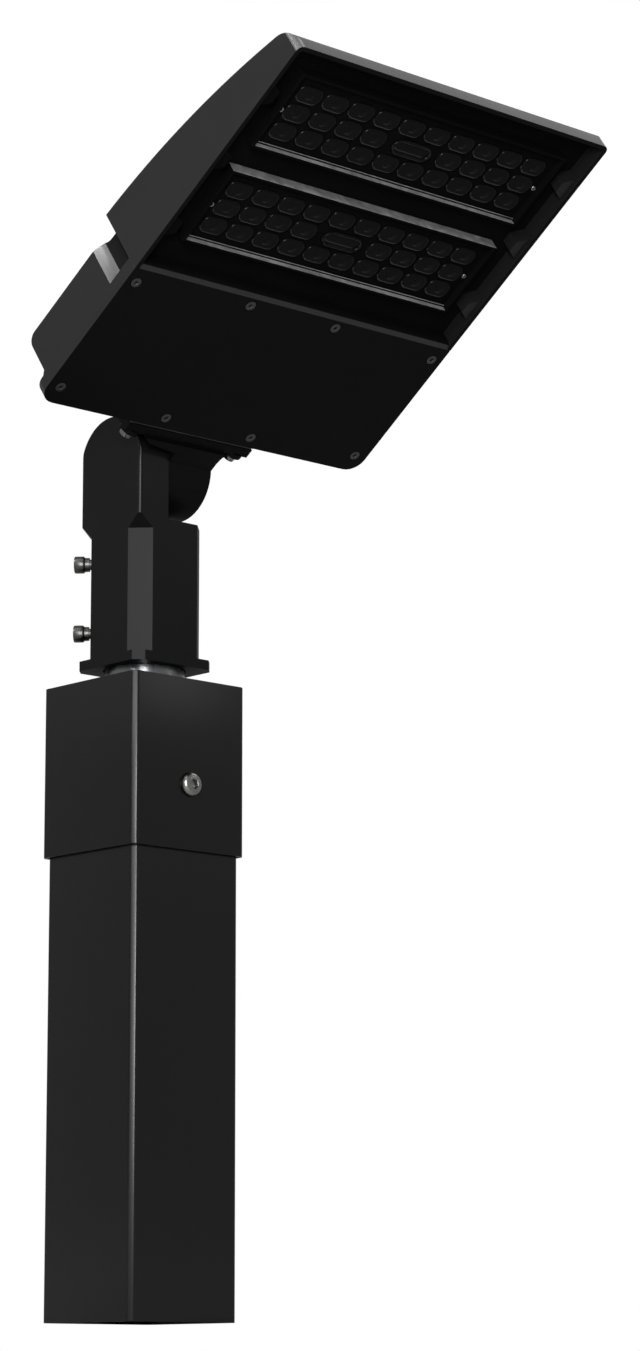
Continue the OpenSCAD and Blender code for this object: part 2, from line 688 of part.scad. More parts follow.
module housing() color(black) on_head() {
    field_x = min(half_w(waist_u), half_w(head_len)) - wall;
    fin_pitch = (2 * field_x - fin_t) / (fin_count + 1);
    difference() {
        union() {
            difference() {
                intersection() {
                    across(max(head_w, nose_w) + 2 * cut) polygon(side_outline());
                    rise(0, arch_peak) polygon(head_plan(0, head_len, 0, lip_corner, nose_corner));
                }
                scoops();
                // Driver compartment and its mouth
                block(-half_w(0) + wall, half_w(0) - wall, box_in_u, waist_u - scoop_len - wall,
                    flange_floor, roof_w);
                block(-half_w(0) + scoop_depth + 2 * wall, half_w(0) - scoop_depth - 2 * wall,
                    box_in_u, bulkhead_u, flange_floor, roof_w);
                block(-open_x, open_x, open_u0, open_u1, door_t - cut, flange_floor + cut);
                // LED recess
                rise(-cut, deck_w) polygon(head_plan(waist_u, head_len - rim, rim, 1, nose_corner - 2));
                // Space above the deck, open at the waist
                rise(deck_top, arch_peak + cut) polygon(head_plan(waist_u, fin_end_u, wall, 0.5, 0.5));
                rise(box_h, arch_peak + cut) polygon(head_plan(waist_u - cut, waist_u + cut, wall, 0.5, 0.5));
            }
            // Cooling fins
            for (i = [1:fin_count]) translate([-field_x + fin_t / 2 + i * fin_pitch, 0, 0])
                across(fin_t) polygon(fin_outline(waist_u - cut, fin_end_u + cut, fin_drop));
            lugs();
            // Mounting pad of the arm
            block(-flange_w / 2, flange_w / 2, pad_u, box_in_u - cut / 2, flange_w0, flange_w0 + flange_h);
            difference() {
                for (p = door_screw_at) at(p[0], p[1], p[1] > box_in_u ? door_t : lip_t - cut)
                    cylinder(r = boss_r, h = p[1] > box_in_u ? boss_top - door_t : 2);
                scoops();
            }
        }
        at_flange_bolts(arm_bolt_len + bolt_seat_u - arm_washer_t + arm_hole_depth)
            cylinder(r = flange_bolt_d / 2 + thread_gap, h = arm_bolt_len + arm_hole_depth);
        at(arm_inner_x + ear_pocket / 2, box_in_u + cut, face_drop) rotate([-90, 0, 0])
            cylinder(d = wireway_d + 2, h = box_in_u - pad_u + 2 * cut);
        for (p = door_screw_at) at(p[0], p[1], door_t - cut)
            cylinder(r = door_screw_d / 2 + thread_gap, h = door_screw_len);
        at(grommet_x, bulkhead_u - cut, grommet_w) rotate([90, 0, 0])
            cylinder(r = grommet_r, h = wall + 2 * cut);
        door_groove(door_seal_t + cut);
        for (u = [module_lower_u, module_upper_u], side = [-1, 1]) at(side * module_screw_x, u, deck_w - cut)
            cylinder(r = module_screw_d / 2 + thread_gap, h = cut + 3);
    }
}

// ---- door ----

// Ring around the compartment's mouth
module door_groove(h) {
    translate([0, 0, door_t + door_seal_t - h]) difference() {
        block(-open_x - seal_w - 1, open_x + seal_w + 1, open_u0 - seal_w - 1, open_u1 + seal_w + 1, 0, h);
        block(-open_x - 1, open_x + 1, open_u0 - 1, open_u1 + 1, -cut, h + cut);
    }
}

module door() color(black) on_head() {
    inner = half_w(fold_u) - rim - 0.3;
    difference() {
        union() {
            rise(0, door_t) polygon(head_plan(0, fold_u - 0.3, 0, lip_corner, 0.5));
            across(2 * inner) polygon(concat([[fold_u - 2, 0]], arc(fold_u, fold_r, fold_r, -90, 0, 8),
                [[door_len, deck_w - 0.3], [door_len - door_t, deck_w - 0.3], [door_len - door_t, door_t],
                [fold_u - 2, door_t]]));
        }
        for (p = door_screw_at) at(p[0], p[1], 0) {
            translate([0, 0, -cut]) cylinder(r = door_screw_d / 2 + 0.25, h = door_t + 2 * cut);
            rotate([180, 0, 0]) rotate_extrude() polygon([[0, cut], [door_head_d / 2 + 0.15, cut],
                [door_head_d / 2 + 0.15, -0.3], [door_screw_d / 2 + 0.15, -door_sink - 0.1],
                [0, -door_sink - 0.1]]);
        }
    }
}

module door_gasket() color("#303030") on_head() {
    door_groove(door_seal_t);
}

module door_screws() color(stainless) on_head() {
    for (p = door_screw_at) at(p[0], p[1], 0) rotate([180, 0, 0])
        sunk_screw(door_screw_d, door_screw_len - 2, door_head_d, door_sink, 1.5);
}

// ---- LED modules, each about its own middle ----

// Places a child at each lens of a module, leaving the middle of the middle row free
module at_lenses() {
    for (row = [-1:1], col = [0:lens_cols - 1]) {
        x = (col - (lens_cols - 1) / 2) * lens_pitch_x;
        if (row != 0 || abs(x) > lens_pitch_x) at(x, row * lens_pitch_u, 0) children();
    }
}

module led_board() color("#e8e8e2") {
    block(-board_x / 2, board_x / 2, -board_u / 2, board_u / 2, deck_w - board_t, deck_w);
}

module led_chips() color("#e8c832") {
    at_lenses() translate([-chip_side / 2, -chip_side / 2, deck_w - board_t - chip_h])
        cube([chip_side, chip_side, chip_h]);
}

module lens_plate() color("#101012") {
    plate_x = inner_x - 2 * plate_gap;
    plate_u = inner_u - 2 * plate_gap;
    difference() {
        union() {
            block(-plate_x / 2, plate_x / 2, -plate_u / 2, plate_u / 2, lens_plate_w, lens_back_w);
            at_lenses() rise(lens_top_w, lens_plate_w + cut / 2) polygon(cut_rect(pad_x, pad_l, lens_cut));
            rise(lens_top_w - 0.6, lens_plate_w + cut / 2)
                polygon(round_rect(slot_x, slot_l, slot_l / 2 - 0.1));
        }
        rise(lens_top_w - 0.6 - cut, lens_top_w + 0.8)
            polygon(round_rect(slot_x - 6, slot_l - 6, slot_l / 2 - 3.1));
        at_lenses() translate([0, 0, lens_plate_w - 0.6]) cylinder(r = 4, h = lens_plate_t + cut, $fn = 24);
        for (side = [-1, 1]) at(side * module_screw_x, 0, lens_plate_w - cut)
            cylinder(r = module_screw_d / 2 + 0.2, h = lens_plate_t + 2 * cut);
    }
}

module lens_gasket() color("#404040") {
    difference() {
        block(-seal_x / 2, seal_x / 2, -seal_u / 2, seal_u / 2, lens_back_w, deck_w);
        block(-seal_x / 2 + seal_rim, seal_x / 2 - seal_rim, -seal_u / 2 + seal_rim, seal_u / 2 - seal_rim,
            lens_back_w - cut, deck_w + cut);
        for (side = [-1, 1]) at(side * module_screw_x, 0, lens_back_w - cut)
            cylinder(r = module_screw_d / 2 + 0.2, h = deck_w - lens_back_w + 2 * cut);
    }
}

module module_frame() color("#8a8c8e") {
    top = deck_w - rail_h;
    difference() {
        block(-frame_x / 2, frame_x / 2, -frame_u / 2, frame_u / 2, top, deck_w);
        block(-inner_x / 2, inner_x / 2, -inner_u / 2, inner_u / 2, top - cut, deck_w + cut);
    }
    // Ledges that hold the lens plate down along its long sides
    for (side = [-1, 1]) block(-inner_x / 2 - cut / 2, inner_x / 2 + cut / 2,
        min(side * inner_u / 2, side * (inner_u / 2 - 1.6)) - (side < 0 ? cut / 2 : 0),
        max(side * inner_u / 2, side * (inner_u / 2 - 1.6)) + (side > 0 ? cut / 2 : 0),
        lens_plate_w - 1.2, lens_plate_w);
}

module module_screws() color(stainless) {
    for (side = [-1, 1]) at(side * module_screw_x, 0, lens_plate_w) rotate([180, 0, 0])
        dome_screw(module_screw_d, deck_w - lens_plate_w + 2, module_head_d, 1.8, 1);
}

module in_module(u) {
    on_head() at(0, u, 0) children();
}

// ---- driver compartment ----

module driver() color("#d8d8d4") on_head() {
    block(driver_x - driver_len / 2, driver_x + driver_len / 2,
        driver_u - driver_w / 2, driver_u + driver_w / 2, roof_w - driver_h, roof_w);
    difference() {
        block(driver_x - driver_len / 2 - driver_foot, driver_x + driver_len / 2 + driver_foot,
            driver_u - driver_w / 2, driver_u + driver_w / 2, roof_w - 2, roof_w);
        at_driver_feet(roof_w - 3) cylinder(r = 2.2, h = 4);
    }
}

module at_driver_feet(w) {
    for (x = [-1, 1], u = [-1, 1])
        at(driver_x + x * (driver_len + driver_foot) / 2, driver_u + u * (driver_w / 2 - 8), w) children();
}

module driver_screws() color(stainless) on_head() {
    at_driver_feet(roof_w - 2) rotate([180, 0, 0]) dome_screw(3.8, 2, 7, 2.4, 1.4);
}

module surge_protector() color("#26262a") on_head() {
    block(surge_x - surge_side / 2, surge_x + surge_side / 2,
        driver_u - driver_w / 2, driver_u - driver_w / 2 + surge_side, roof_w - surge_side * 0.75, roof_w);
}

module terminal_block() color("#e4e4de") on_head() {
    u1 = driver_u + driver_w / 2;
    ways = floor(terminal_len / 12);
    difference() {
        block(terminal_x - terminal_len / 2, terminal_x + terminal_len / 2, u1 - terminal_w, u1,
            roof_w - terminal_h, roof_w);
        for (i = [0:ways - 1]) at(terminal_x - terminal_len / 2 + (i + 0.5) * terminal_len / ways,
            u1 - terminal_w / 2, roof_w - terminal_h - cut) cylinder(r = 2.6, h = 8);
    }
}

module wire_grommet() color("#303030") on_head() {
    at(grommet_x, waist_u + grommet_lip, grommet_w) rotate([-90, 0, 0]) difference() {
        union() {
            cylinder(r = grommet_r - 0.05, h = wall + 2 * grommet_lip);
            cylinder(r = grommet_r + 0.5, h = grommet_lip);
            translate([0, 0, wall + grommet_lip]) cylinder(r = grommet_r + 0.5, h = grommet_lip);
        }
        translate([0, 0, -cut]) cylinder(r = grommet_r / 2, h = wall + 2 * grommet_lip + 2 * cut);
    }
}

pole_section();
tenon_adapter();
tenon();
clamp_screws();
clamp_nuts();
slip_fitter();
set_bolts();
pivot_bolt();
pivot_washer();
pivot_spring_washer();
knuckle_arm();
arm_gasket();
arm_bolts();
arm_washers();
housing();
door();
door_gasket();
door_screws();
in_module(module_lower_u) led_board();  // led_board_lower
in_module(module_upper_u) led_board();  // led_board_upper
in_module(module_lower_u) led_chips();  // led_chips_lower
in_module(module_upper_u) led_chips();  // led_chips_upper
in_module(module_lower_u) lens_plate();  // lens_plate_lower
in_module(module_upper_u) lens_plate();  // lens_plate_upper
in_module(module_lower_u) lens_gasket();  // lens_gasket_lower
in_module(module_upper_u) lens_gasket();  // lens_gasket_upper
in_module(module_lower_u) module_frame();  // module_frame_lower
in_module(module_upper_u) module_frame();  // module_frame_upper
in_module(module_lower_u) module_screws();  // module_screws_lower
in_module(module_upper_u) module_screws();  // module_screws_upper
driver();
driver_screws();
surge_protector();
terminal_block();
wire_grommet();
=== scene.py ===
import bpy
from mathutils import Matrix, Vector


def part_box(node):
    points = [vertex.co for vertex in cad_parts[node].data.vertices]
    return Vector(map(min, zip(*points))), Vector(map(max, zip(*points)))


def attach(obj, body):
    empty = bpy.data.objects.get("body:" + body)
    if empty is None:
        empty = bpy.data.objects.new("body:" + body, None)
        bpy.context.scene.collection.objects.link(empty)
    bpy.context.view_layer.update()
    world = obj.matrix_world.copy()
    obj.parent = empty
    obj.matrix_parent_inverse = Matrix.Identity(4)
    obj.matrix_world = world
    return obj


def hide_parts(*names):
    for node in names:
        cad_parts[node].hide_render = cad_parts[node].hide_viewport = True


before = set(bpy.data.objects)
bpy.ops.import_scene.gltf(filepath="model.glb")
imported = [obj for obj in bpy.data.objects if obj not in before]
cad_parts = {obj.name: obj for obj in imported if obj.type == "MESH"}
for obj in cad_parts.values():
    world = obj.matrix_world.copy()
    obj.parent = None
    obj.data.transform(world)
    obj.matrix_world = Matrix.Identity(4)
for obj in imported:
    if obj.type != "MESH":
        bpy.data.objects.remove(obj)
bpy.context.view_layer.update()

import math

import bmesh
import bpy
from mathutils import Euler, Matrix, Vector

# The photograph's view: a long lens on the left of the pole, a little below its cut end and
# looking up at the head's lit face.
film_width = 36
focal_pixels = 3617.1
photo_height = 1351
camera_data = bpy.data.cameras.new("photo_camera")
camera_data.sensor_width = film_width
camera_data.lens = film_width * focal_pixels / photo_height
camera_data.clip_end = 60
camera = bpy.data.objects.new("photo_camera", camera_data)
camera.location = (-1.7001, -2.0516, -0.0480)
camera.rotation_euler = Euler((math.radians(101.1817), math.radians(0.074), math.radians(-42.465)))
bpy.context.scene.collection.objects.link(camera)
bpy.context.scene.camera = camera
bpy.context.scene.view_settings.view_transform = "Standard"


# The studio: a white surround, a plain pale floor that the pole stands on, and soft lamps on
# the left, overhead and beside the camera.
class Wire:
    """One output of a node, which takes part in sums as a number does."""

    def __init__(self, tree, socket=None):
        self.tree = tree
        self.socket = socket

    def add(self, kind, settings=(), inputs=(), out=0):
        """A node of one kind: its settings first, then the values or links of its sockets."""
        node = self.tree.nodes.new(kind)
        for name, value in dict(settings).items():
            setattr(node, name, value)
        for key, value in dict(inputs).items():
            if isinstance(value, Wire):
                self.tree.links.new(value.socket, node.inputs[key])
            else:
                node.inputs[key].default_value = value
        return Wire(self.tree, node.outputs[out] if len(node.outputs) else None)

    def out(self, name):
        return Wire(self.tree, self.socket.node.outputs[name])

    def maths(self, operation, a, b=0.0):
        return self.add("ShaderNodeMath", {"operation": operation}, {0: a, 1: b})

    def noise(self, where, scale, detail):
        return self.add("ShaderNodeTexNoise", (), {"Vector": where, "Scale": scale, "Detail": detail})

    def between(self, share, one, two):
        """A colour between two others."""
        return self.add("ShaderNodeMix", {"data_type": "RGBA"},
                        {0: share, 6: (*one, 1), 7: (*two, 1)}, out=2)

    def __add__(self, other):
        return self.maths("ADD", self, other)

    def __sub__(self, other):
        return self.maths("SUBTRACT", self, other)

    def __rsub__(self, other):
        return self.maths("SUBTRACT", other, self)

    def __mul__(self, other):
        return self.maths("MULTIPLY", self, other)

    def __gt__(self, other):
        return self.maths("GREATER_THAN", self, other)

    __radd__ = __add__
    __rmul__ = __mul__


def linked(name, mesh):
    piece = bpy.data.objects.new(name, mesh)
    bpy.context.scene.collection.objects.link(piece)
    return piece


def blank(name):
    """A material with an empty node tree, and the Object coordinates that its nodes read."""
    material = bpy.data.materials.new(name)
    material.use_nodes = True
    material.node_tree.nodes.clear()
    tree = Wire(material.node_tree)
    return material, tree, tree.add("ShaderNodeTexCoord").out("Object")


def looked_at(tree):
    """1 for what the camera, a mirror or glass sees, and 0 for the light that falls on things."""
    rays = tree.add("ShaderNodeLightPath")
    direct = rays.out("Is Camera Ray")
    mirrored = rays.out("Is Glossy Ray")
    through = rays.out("Is Transmission Ray")
    return 1 - (1 - direct) * (1 - mirrored) * (1 - through)


world = bpy.data.worlds.new("studio")
world.use_nodes = True
sky_light = 0.25
sky = sky_light + (1 - sky_light) * looked_at(Wire(world.node_tree))
background = world.node_tree.nodes["Background"]
background.inputs["Color"].default_value = (1, 1, 1, 1)
world.node_tree.links.new(sky.socket, background.inputs["Strength"])
bpy.context.scene.world = world

# The floor is one-sided, because the photograph was taken from just below the pole's cut end,
# and it goes over to white away from the pole.
floor_half = 16
floor_level = -0.002
floor_mesh = bpy.data.meshes.new("floor")
floor_mesh.from_pydata([(x * floor_half, y * floor_half, floor_level)
                        for x, y in ((-1, -1), (1, -1), (1, 1), (-1, 1))], [], [(0, 1, 2, 3)])
floor = linked("floor", floor_mesh)
pale_floor, ground, where = blank("pale_floor")
far = ground.add("ShaderNodeVectorMath", {"operation": "LENGTH"}, {0: where}, out="Value")
far = ground.add("ShaderNodeMapRange", {"interpolation_type": "SMOOTHSTEP"}, {0: far, 1: 0.5, 2: 2.3})
tone = ground.between(ground.noise(where, 2.0, 4.0), (0.66, 0.66, 0.65), (0.72, 0.72, 0.71))
matt = ground.add("ShaderNodeBsdfDiffuse", (), {"Color": tone})
white = ground.add("ShaderNodeEmission", (), {"Color": (1, 1, 1, 1), "Strength": 1.0})
clear = ground.add("ShaderNodeBsdfTransparent")
under = ground.add("ShaderNodeNewGeometry").out("Backfacing")
surface = ground.add("ShaderNodeMixShader", (), {0: looked_at(ground) * far, 1: matt, 2: white})
surface = ground.add("ShaderNodeMixShader", (), {0: under, 1: surface, 2: clear})
ground.add("ShaderNodeOutputMaterial", (), {"Surface": surface})
floor_mesh.materials.append(pale_floor)


def lamp(name, place, target, width, height, watts):
    data = bpy.data.lights.new(name, "AREA")
    data.shape = "RECTANGLE"
    data.size, data.size_y = width, height
    data.energy = watts
    light = linked(name, data)
    light.location = place
    light.rotation_euler = (Vector(target) - Vector(place)).to_track_quat("-Z", "Y").to_euler()


lamp("key_softbox", (-1.99, -1.82, 1.42), (0, 0, 0.55), 0.9, 0.8, 44)
lamp("small_softbox_left", (-2.6, -0.95, 1.03), (0, 0, 0.5), 0.3, 0.4, 6)
lamp("tall_strip", (-1.85, -2.20, 0.52), (0, 0, 0.3), 0.42, 0.90, 145)
lamp("small_softbox_right", (1.76, -2.15, 1.47), (0, -0.2, 0.75), 0.4, 0.4, 3)
lamp("softbox_left", (-2.1, 1.7, 1.7), (0, 0, 0.6), 1.5, 1.2, 3)
lamp("spot_upper_left", (-1.82, 0.29, 2.08), (-0.15, -0.1, 0.7), 0.45, 0.45, 75)
lamp("softbox_above", (1.5, -0.5, 2.5), (0, -0.3, 0.6), 1.6, 1.6, 20)
lamp("softbox_above_left", (-0.9, -0.6, 2.7), (-0.1, -0.3, 0.8), 1.0, 1.0, 26)

# Pole: a length of square steel tube, cut off square below. The rolls leave a small flat
# across each rounded corner, and the smooth black powder coat shows a slight orange peel.
pole_side = 0.1016
pole_wall = 0.0032
corner_leg = 0.0036
corner_round = 0.0028
cut_edge = 0.0005
smooth_below = 34


def coated(name, colour, gloss, peel, grit=0.0, specular=0.03, shine=0.15, blur=0.20):
    """A powder coat: mottled tone, orange peel and, on castings, a coarser grit."""
    material, coat, where = blank(name)
    mottle = coat.noise(where, 22.0, 4.0)
    ripple = coat.noise(where, 420.0, 2.0)
    specks = coat.noise(where, 1500.0, 3.0)
    tone = coat.between(mottle * 0.7 + specks * 0.3, [c * 0.8 for c in colour], [c * 1.2 for c in colour])
    relief = ripple * peel + specks * (0.25 * peel + grit)
    bump = coat.add("ShaderNodeBump", (), {"Strength": 1.0, "Distance": 0.001, "Height": relief},
                    out="Normal")
    roughness = gloss + (mottle - 0.5) * 0.10 + (ripple - 0.5) * 0.06
    shader = coat.add("ShaderNodeBsdfPrincipled", (),
                      {"Base Color": tone, "Roughness": roughness, "Normal": bump,
                       "Specular IOR Level": specular, "Coat Weight": shine, "Coat Roughness": blur})
    coat.add("ShaderNodeOutputMaterial", (), {"Surface": shader})
    return material


def dressed(piece, material, body, slot, *nodes):
    """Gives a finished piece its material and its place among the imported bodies."""
    piece.data.materials.clear()
    piece.data.materials.append(material)
    piece.data.polygons.foreach_set("material_index", [0] * len(piece.data.polygons))
    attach(piece, body)
    if nodes:
        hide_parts(*nodes)
    return piece


def node_tree(name, **inputs):
    """A Geometry Nodes tree with named inputs, given as a socket kind and a first value."""
    tree = bpy.data.node_groups.new(name, "GeometryNodeTree")
    tree.interface.new_socket("Geometry", in_out="INPUT", socket_type="NodeSocketGeometry")
    for label, (kind, value) in inputs.items():
        socket = tree.interface.new_socket(label, in_out="INPUT", socket_type="NodeSocket" + kind)
        if value is not None:
            socket.default_value = value
    tree.interface.new_socket("Geometry", in_out="OUTPUT", socket_type="NodeSocketGeometry")
    return tree, Wire(tree).add("NodeGroupInput")


def tree_end(given, geometry):
    """Ends a tree: its instances are made real and get the finish."""
    real = given.add("GeometryNodeRealizeInstances", (), {"Geometry": geometry})
    real = given.add("GeometryNodeSetMaterial", (), {"Geometry": real, "Material": given.out("Finish")})
    given.add("NodeGroupOutput", (), {0: real})


def grown(name, tree, values, start=None):
    """Runs a Geometry Nodes tree once and keeps the plain mesh that it makes."""
    piece = linked(name, start or bpy.data.meshes.new(name))
    steps = piece.modifiers.new(name, "NODES")
    steps.node_group = tree
    for item in tree.interface.items_tree:
        if item.in_out == "INPUT" and item.name in values:
            steps[item.identifier] = values[item.name]
    mesh = bpy.data.meshes.new_from_object(piece.evaluated_get(bpy.context.evaluated_depsgraph_get()))
    piece.modifiers.clear()
    piece.data = mesh
    mesh.name = name
    mesh.shade_smooth()
    mesh.set_sharp_from_angle(angle=math.radians(smooth_below))
    return piece


pole_paint = coated("pole_paint", (0.0015, 0.0015, 0.0016), 0.36, 0.012, specular=0.006, shine=0.20,
                    blur=0.24)

tube_tree, given = node_tree("square_tube", Side=("Float", 0.1), Leg=("Float", 0.004),
                             Round=("Float", 0.003), Wall=("Float", 0.003), Length=("Float", 0.3),
                             Lip=("Float", 0.0005), Finish=("Material", None))
path_side = given.out("Side") - given.out("Wall")
path_leg = given.out("Leg") - given.out("Wall") * (1 - math.sqrt(0.5))
path_round = given.out("Round") - 0.5 * given.out("Wall")
path = given.add("GeometryNodeCurvePrimitiveQuadrilateral", (), {"Width": path_side, "Height": path_side})
path = given.add("GeometryNodeFilletCurve", {"mode": "POLY"},
                 {"Curve": path, "Count": 1, "Radius": path_leg})
path = given.add("GeometryNodeFilletCurve", {"mode": "POLY"},
                 {"Curve": path, "Count": 6, "Radius": path_round})
path = given.add("GeometryNodeSetCurveNormal", {"mode": "Z_UP"}, {"Curve": path})
edge = given.add("GeometryNodeCurvePrimitiveQuadrilateral", (),
                 {"Width": given.out("Wall"), "Height": given.out("Length")})
edge = given.add("GeometryNodeFilletCurve", {"mode": "POLY"},
                 {"Curve": edge, "Count": 4, "Radius": given.out("Lip")})
tube = given.add("GeometryNodeCurveToMesh", (), {"Curve": path, "Profile Curve": edge})
lift = given.add("ShaderNodeCombineXYZ", (), {"Z": 0.5 * given.out("Length")})
tree_end(given, given.add("GeometryNodeTransform", (), {"Geometry": tube, "Translation": lift}))

low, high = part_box("pole_section")
pole = grown("pole", tube_tree,
             {"Side": pole_side, "Leg": corner_leg, "Round": corner_round, "Wall": pole_wall,
              "Length": high.z - low.z, "Lip": cut_edge, "Finish": pole_paint})
dressed(pole, pole_paint, "pole", "pole_paint", "pole_section")

# Tenon adapter: a square steel sleeve that drops over the pole's top, closed by a welded plate
# with a round hole for the tenon, which lies a hair below the rim. It is powder coated with
# the pole.
sleeve_wall = 0.0028
plate_thickness = 0.006
hole_radius = 0.0302
hair = 0.0001


def turned(bm, profile, steps, matrix=Matrix()):
    """Turns a profile of (radius, height) pairs about Z. A radius may be a function of the
    angle, so a socket or a head can be six-sided."""
    rings = []
    for radius, height in profile:
        if not callable(radius) and radius == 0:
            rings.append([bm.verts.new(matrix @ Vector((0, 0, height)))])
            continue
        ring = []
        for i in range(steps):
            a = 2 * math.pi * i / steps
            r = radius(a) if callable(radius) else radius
            ring.append(bm.verts.new(matrix @ Vector((r * math.cos(a), r * math.sin(a), height))))
        rings.append(ring)
    for one, two in zip(rings, rings[1:]):
        for i in range(steps):
            j = (i + 1) % steps
            corners = [one[i % len(one)], one[j % len(one)], two[j % len(two)], two[i % len(two)]]
            bm.faces.new(list(dict.fromkeys(corners)))


def meshed(bm, name, angle=smooth_below):
    """Closes a bmesh into a linked piece with outward faces and smooth shading."""
    bmesh.ops.remove_doubles(bm, verts=bm.verts, dist=1e-7)
    bmesh.ops.recalc_face_normals(bm, faces=bm.faces)
    mesh = bpy.data.meshes.new(name)
    bm.to_mesh(mesh)
    bm.free()
    mesh.shade_smooth()
    mesh.set_sharp_from_angle(angle=math.radians(angle))
    return linked(name, mesh)


low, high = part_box("tenon_adapter")
sleeve_side = high.x - low.x
plate_half = sleeve_side / 2 - sleeve_wall + hair
plate_low, plate_high = high.z - plate_thickness, high.z - hair
sleeve = grown("tenon_adapter_sleeve", tube_tree,
               {"Side": sleeve_side, "Leg": corner_leg, "Round": corner_round, "Wall": sleeve_wall,
                "Length": high.z - low.z, "Lip": cut_edge, "Finish": pole_paint})
sleeve.data.transform(Matrix.Translation((0, 0, low.z)))


def plate_edge(a):
    return plate_half / max(abs(math.cos(a)), abs(math.sin(a)))


bm = bmesh.new()
bm.from_mesh(sleeve.data)
turned(bm, [(hole_radius, plate_low), (plate_edge, plate_low), (plate_edge, plate_high),
            (hole_radius, plate_high), (hole_radius, plate_low)], 96)
bpy.data.objects.remove(sleeve)
sleeve = meshed(bm, "tenon_adapter_sleeve")
dressed(sleeve, pole_paint, "pole", "pole_paint", "tenon_adapter")

# Tenon: a stub of round galvanised pipe, welded into the adapter's top plate.
# Its ends are faced and slightly rounded, and the zinc shows its spangle.
pipe_outer = 0.03015
pipe_inner = 0.02625
pipe_edge = 0.0006


def metal(name, colour, roughness, grain, spangle=0.0, darkest=0.72):
    """Bare metal: fine turning marks and, on zinc or a rough sheet, patches of tone."""
    material, skin, where = blank(name)
    stain = skin.noise(where, 180.0, 4.0)
    stretched = skin.add("ShaderNodeMapping", (), {"Vector": where, "Scale": (1.0, 1.0, 9.0)})
    marks = skin.noise(stretched, 900.0, 2.0)
    patch = skin.add("ShaderNodeTexVoronoi", (), {"Vector": where, "Scale": 160.0}, out="Color")
    patch = skin.add("ShaderNodeSeparateColor", (), {"Color": patch})
    blend = stain * (1 - spangle) + patch * spangle
    tone = skin.between(blend, [c * darkest for c in colour], [c * 1.12 for c in colour])
    bump = skin.add("ShaderNodeBump", (), {"Strength": 0.6, "Distance": 0.0005, "Height": marks * grain},
                    out="Normal")
    shader = skin.add("ShaderNodeBsdfPrincipled", (),
                      {"Base Color": tone, "Metallic": 1.0, "Normal": bump,
                       "Roughness": roughness + (blend - 0.5) * 0.18})
    skin.add("ShaderNodeOutputMaterial", (), {"Surface": shader})
    return material


zinc_tube = metal("zinc_tube", (0.085, 0.087, 0.09), 0.27, 0.05, spangle=0.7)

low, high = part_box("tenon")
bm = bmesh.new()
turned(bm, [(pipe_inner, low.z + pipe_edge), (pipe_inner + pipe_edge, low.z),
            (pipe_outer - pipe_edge, low.z), (pipe_outer, low.z + pipe_edge),
            (pipe_outer, high.z - 0.001), (pipe_outer - 0.0003, high.z - 0.0003),
            (pipe_outer - 0.001, high.z), (pipe_inner + pipe_edge, high.z),
            (pipe_inner, high.z - pipe_edge), (pipe_inner, low.z + pipe_edge)], 72)
dressed(meshed(bm, "tenon_pipe"), zinc_tube, "pole", "zinc_tube", "tenon")

# Weld bead: the ring of overlapping ripples that joins the tenon to the adapter's top plate,
# laid by hand and coated over with the sleeve.
bead_tree, given = node_tree("weld_bead", Ring=("Float", 0.03), Bead=("Float", 0.002),
                             Ripples=("Int", 60), Seed=("Int", 3), Finish=("Material", None))
ring = given.add("GeometryNodeCurvePrimitiveCircle", (),
                 {"Resolution": given.out("Ripples") * 4, "Radius": given.out("Ring")})
wave = given.maths("SINE", given.add("GeometryNodeInputIndex") * (math.pi / 2))
jitter = given.add("FunctionNodeRandomValue", {"data_type": "FLOAT"},
                   {"Min": 0.9, "Max": 1.1, "Seed": given.out("Seed")}, out=1)
ring = given.add("GeometryNodeSetCurveRadius", (), {"Curve": ring, "Radius": jitter * (1 + wave * 0.09)})
section = given.add("GeometryNodeCurvePrimitiveCircle", (), {"Resolution": 10, "Radius": given.out("Bead")})
tree_end(given, given.add("GeometryNodeCurveToMesh", (),
                          {"Curve": ring, "Profile Curve": section,
                           "Scale": given.add("GeometryNodeInputRadius")}))
bead = grown("weld_bead", bead_tree,
             {"Ring": 0.0318, "Bead": 0.0023, "Ripples": 58, "Seed": 3, "Finish": pole_paint})
bead.data.transform(Matrix.Translation((0, 0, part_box("tenon_adapter")[1].z)))
dressed(bead, pole_paint, "pole", "pole_paint")

# Clamp screws: a stainless button-head screw with a hexagon socket through each of two
# opposite faces of the sleeve, into a welded nut inside the pole.
clamp_height = 0.3886
sleeve_face = 0.0539
stainless = metal("stainless", (0.11, 0.108, 0.104), 0.25, 0.04)


def hexagon(flats):
    """Radius of a hexagon of this width across flats, by angle."""
    return lambda a: flats / 2 / math.cos((a + math.pi / 6) % (math.pi / 3) - math.pi / 6)


def socketed(head, flats, depth, tip, shank, chamfer):
    """Profile of a screw: the hexagon socket's floor, its wall, then the head and the shank."""
    top = head[0][1]
    seat = min(0, head[-1][1])
    socket = [(0, top - depth * 1.15), (hexagon(flats * 0.96), top - depth),
              (hexagon(flats), top - 0.0003), (hexagon(flats + 0.0006), top)]
    return socket + head + [(shank, seat), (shank, chamfer - tip), (shank - chamfer, -tip), (0, -tip)]


